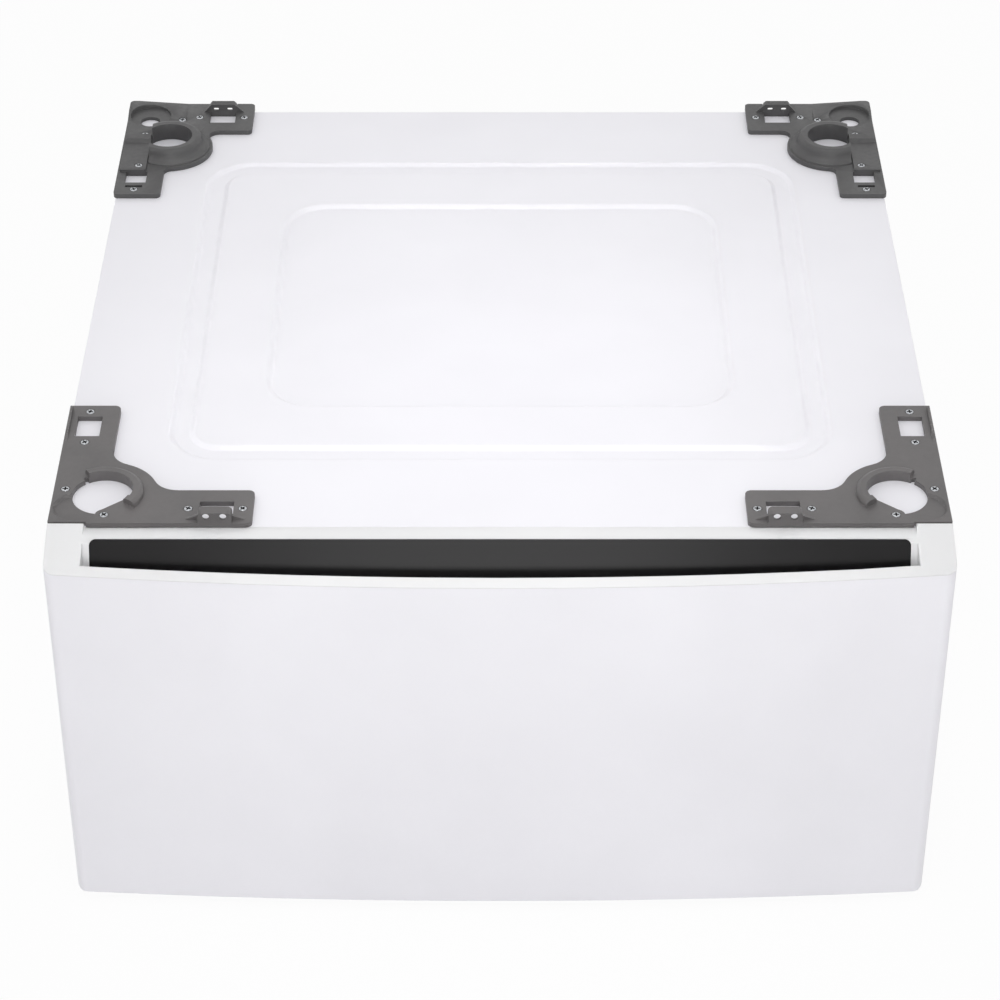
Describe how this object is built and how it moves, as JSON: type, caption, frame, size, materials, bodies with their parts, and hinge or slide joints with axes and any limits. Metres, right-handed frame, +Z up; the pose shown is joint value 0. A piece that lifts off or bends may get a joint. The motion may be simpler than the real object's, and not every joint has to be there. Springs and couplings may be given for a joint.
{
  "type": "washer pedestal drawer",
  "caption": "Steel laundry pedestal with a full-width bowed storage drawer on ball slides, corner foot brackets and levelling feet.",
  "frame": {"origin": "on the floor under the middle of the pedestal", "axes": "X across to the right as seen from the front, Y from the drawer front to the back, Z up"},
  "size_m": [0.686, 0.721, 0.3568],
  "materials": {
    "white_paint": "gloss white enamel",
    "white_plastic": "satin moulded",
    "bracket_plastic": "fine grained moulded",
    "gloss_strip": "polished",
    "galvanised_steel": "galvanised sheet",
    "zinc_steel": "bright zinc",
    "polished_balls": "polished",
    "black_plastic": "moulded",
    "rubber": "moulded"
  },
  "bodies": {
    "cabinet": {"side_panel_left": "white_paint", "side_panel_right": "white_paint", "back_panel": "white_paint", "top_deck": "white_paint", "deck_stiffeners": "galvanised_steel", "front_upright_left": "galvanised_steel", "front_upright_right": "galvanised_steel", "rear_upright_left": "galvanised_steel", "rear_upright_right": "galvanised_steel", "lower_front_rail": "galvanised_steel", "lower_rear_rail": "galvanised_steel", "base_gussets": "galvanised_steel", "foot_nuts": "zinc_steel", "lock_nuts": "zinc_steel", "slide_mount_left": "galvanised_steel", "slide_mount_right": "galvanised_steel", "slide_outer_left": "zinc_steel", "slide_outer_right": "zinc_steel", "bracket_front_left": "bracket_plastic", "bracket_front_right": "bracket_plastic", "bracket_rear_left": "bracket_plastic", "bracket_rear_right": "bracket_plastic", "bracket_screws": "zinc_steel", "panel_screws": "zinc_steel", "slide_rivets": "zinc_steel", "bumpers": "rubber"},
    "drawer": {"front_panel": "white_paint", "top_cap": "white_plastic", "handle_strip": "gloss_strip", "front_inner_plate": "galvanised_steel", "tray_floor": "galvanised_steel", "tray_side_left": "galvanised_steel", "tray_side_right": "galvanised_steel", "tray_back": "galvanised_steel", "tray_screws": "zinc_steel", "slide_inner_left": "zinc_steel", "slide_inner_right": "zinc_steel", "lever_pins": "zinc_steel"},
    "slide_middle_left": {"slide_middle_left": "zinc_steel"},
    "outer_cage_left": {"outer_cage_left": "galvanised_steel", "outer_balls_left": "polished_balls"},
    "inner_cage_left": {"inner_cage_left": "galvanised_steel", "inner_balls_left": "polished_balls"},
    "release_lever_left": {"release_lever_left": "black_plastic"},
    "slide_middle_right": {"slide_middle_right": "zinc_steel"},
    "outer_cage_right": {"outer_cage_right": "galvanised_steel", "outer_balls_right": "polished_balls"},
    "inner_cage_right": {"inner_cage_right": "galvanised_steel", "inner_balls_right": "polished_balls"},
    "release_lever_right": {"release_lever_right": "black_plastic"},
    "foot_front_left": {"foot_pad_front_left": "rubber", "foot_stud_front_left": "zinc_steel"},
    "foot_front_right": {"foot_pad_front_right": "rubber", "foot_stud_front_right": "zinc_steel"},
    "foot_rear_left": {"foot_pad_rear_left": "rubber", "foot_stud_rear_left": "zinc_steel"},
    "foot_rear_right": {"foot_pad_rear_right": "rubber", "foot_stud_rear_right": "zinc_steel"}
  },
  "joints": [
    {"name": "drawer_slide", "type": "slide", "parent": "cabinet", "child": "drawer", "axis": [0, -1, 0], "range_m": [0, 0.48]},
    {"name": "slide_middle_left_travel", "type": "slide", "parent": "cabinet", "child": "slide_middle_left", "axis": [0, -1, 0], "range_m": [0, 0.24]},
    {"name": "outer_cage_left_travel", "type": "slide", "parent": "cabinet", "child": "outer_cage_left", "axis": [0, -1, 0], "range_m": [0, 0.12]},
    {"name": "inner_cage_left_travel", "type": "slide", "parent": "cabinet", "child": "inner_cage_left", "axis": [0, -1, 0], "range_m": [0, 0.36]},
    {"name": "slide_middle_right_travel", "type": "slide", "parent": "cabinet", "child": "slide_middle_right", "axis": [0, -1, 0], "range_m": [0, 0.24]},
    {"name": "outer_cage_right_travel", "type": "slide", "parent": "cabinet", "child": "outer_cage_right", "axis": [0, -1, 0], "range_m": [0, 0.12]},
    {"name": "inner_cage_right_travel", "type": "slide", "parent": "cabinet", "child": "inner_cage_right", "axis": [0, -1, 0], "range_m": [0, 0.36]},
    {"name": "release_lever_left_press", "type": "hinge", "parent": "drawer", "child": "release_lever_left", "pos_m": [-0.2897, -0.1103, 0.14], "axis": [1, 0, 0], "range_deg": [0, 8], "stiffness_Nm_per_rad": 0.15},
    {"name": "release_lever_right_press", "type": "hinge", "parent": "drawer", "child": "release_lever_right", "pos_m": [0.2897, -0.1103, 0.14], "axis": [1, 0, 0], "range_deg": [0, 8], "stiffness_Nm_per_rad": 0.15},
    {"name": "foot_front_left_level", "type": "slide", "parent": "cabinet", "child": "foot_front_left", "axis": [0, 0, -1], "range_m": [0, 0.02]},
    {"name": "foot_front_right_level", "type": "slide", "parent": "cabinet", "child": "foot_front_right", "axis": [0, 0, -1], "range_m": [0, 0.02]},
    {"name": "foot_rear_left_level", "type": "slide", "parent": "cabinet", "child": "foot_rear_left", "axis": [0, 0, -1], "range_m": [0, 0.02]},
    {"name": "foot_rear_right_level", "type": "slide", "parent": "cabinet", "child": "foot_rear_right", "axis": [0, 0, -1], "range_m": [0, 0.02]}
  ],
  "couplings": [
    {"joint": "slide_middle_left_travel", "follows": "drawer_slide", "ratio": 0.5},
    {"joint": "outer_cage_left_travel", "follows": "drawer_slide", "ratio": 0.25},
    {"joint": "inner_cage_left_travel", "follows": "drawer_slide", "ratio": 0.75},
    {"joint": "slide_middle_right_travel", "follows": "drawer_slide", "ratio": 0.5},
    {"joint": "outer_cage_right_travel", "follows": "drawer_slide", "ratio": 0.25},
    {"joint": "inner_cage_right_travel", "follows": "drawer_slide", "ratio": 0.75}
  ]
}
